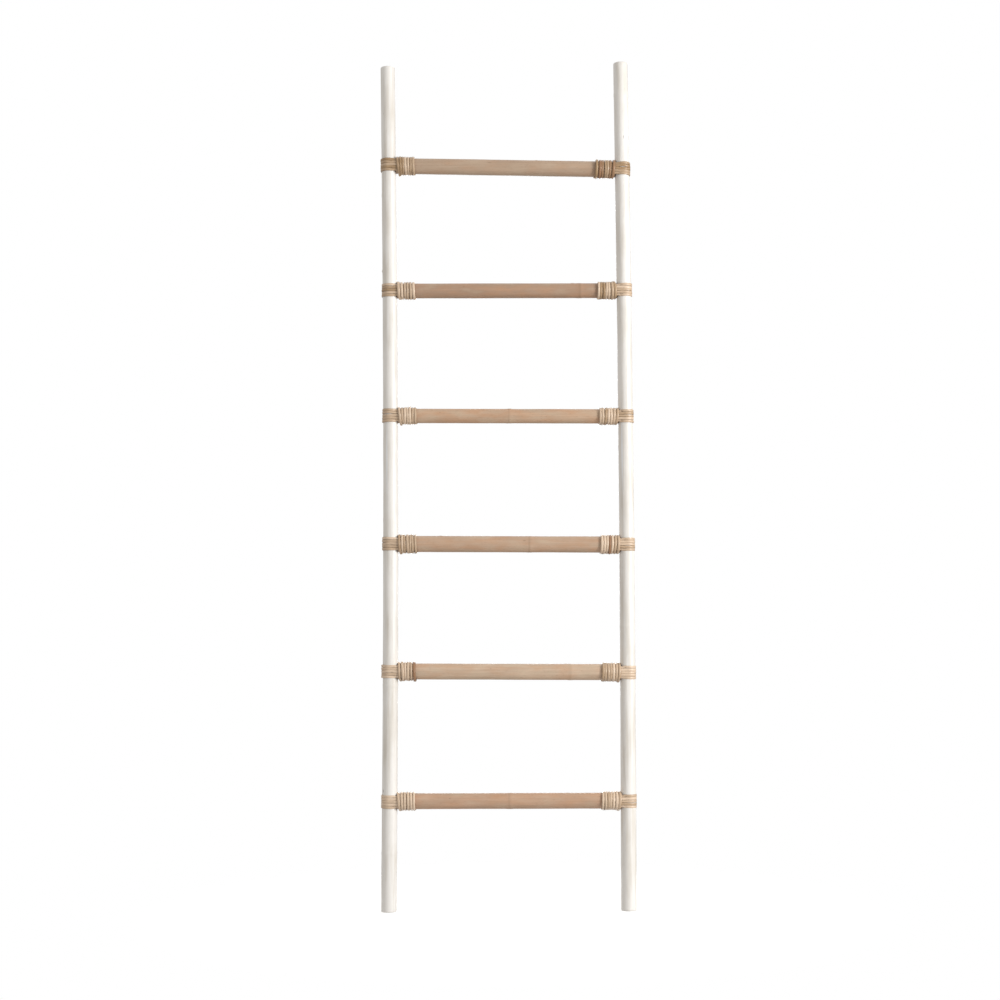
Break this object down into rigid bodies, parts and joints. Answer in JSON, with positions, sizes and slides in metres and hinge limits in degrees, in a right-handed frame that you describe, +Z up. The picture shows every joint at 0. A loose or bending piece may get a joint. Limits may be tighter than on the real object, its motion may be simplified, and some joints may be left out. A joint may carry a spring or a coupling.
{
  "type": "blanket ladder",
  "caption": "Tall rattan ladder of two painted poles and lashed natural rungs, leaned on a wall to hang quilts, blankets or towels over its rungs.",
  "frame": {"origin": "on the floor, at the middle of the ladder's box, between its two feet", "axes": "+Z up along the poles, +X to the right along the rungs as seen from the front, +Y back towards the wall it leans on"},
  "size_m": [0.5096, 0.0416, 1.7064],
  "materials": {
    "painted_pole": "rattan pole brushed with satin white paint",
    "sanded_rung": "peeled rattan, sanded smooth and left bare, with faint streaks and node rings",
    "peel_strap": "split rattan peel, glossy skin outwards, straw to tan",
    "peel_winding": "split rattan peel, glossy skin outwards, straw to tan",
    "zinc_steel": "zinc-plated steel"
  },
  "bodies": {
    "root": {"pole_left": "painted_pole", "pole_right": "painted_pole", "rung_1": "sanded_rung", "rung_2": "sanded_rung", "rung_3": "sanded_rung", "rung_4": "sanded_rung", "rung_5": "sanded_rung", "rung_6": "sanded_rung", "strap_1_left": "peel_strap", "winding_1_left": "peel_winding", "joint_screw_1_left": "zinc_steel", "tail_brad_1_left": "zinc_steel", "strap_1_right": "peel_strap", "winding_1_right": "peel_winding", "joint_screw_1_right": "zinc_steel", "tail_brad_1_right": "zinc_steel", "strap_2_left": "peel_strap", "winding_2_left": "peel_winding", "joint_screw_2_left": "zinc_steel", "tail_brad_2_left": "zinc_steel", "strap_2_right": "peel_strap", "winding_2_right": "peel_winding", "joint_screw_2_right": "zinc_steel", "tail_brad_2_right": "zinc_steel", "strap_3_left": "peel_strap", "winding_3_left": "peel_winding", "joint_screw_3_left": "zinc_steel", "tail_brad_3_left": "zinc_steel", "strap_3_right": "peel_strap", "winding_3_right": "peel_winding", "joint_screw_3_right": "zinc_steel", "tail_brad_3_right": "zinc_steel", "strap_4_left": "peel_strap", "winding_4_left": "peel_winding", "joint_screw_4_left": "zinc_steel", "tail_brad_4_left": "zinc_steel", "strap_4_right": "peel_strap", "winding_4_right": "peel_winding", "joint_screw_4_right": "zinc_steel", "tail_brad_4_right": "zinc_steel", "strap_5_left": "peel_strap", "winding_5_left": "peel_winding", "joint_screw_5_left": "zinc_steel", "tail_brad_5_left": "zinc_steel", "strap_5_right": "peel_strap", "winding_5_right": "peel_winding", "joint_screw_5_right": "zinc_steel", "tail_brad_5_right": "zinc_steel", "strap_6_left": "peel_strap", "winding_6_left": "peel_winding", "joint_screw_6_left": "zinc_steel", "tail_brad_6_left": "zinc_steel", "strap_6_right": "peel_strap", "winding_6_right": "peel_winding", "joint_screw_6_right": "zinc_steel", "tail_brad_6_right": "zinc_steel"}
  },
  "joints": []
}
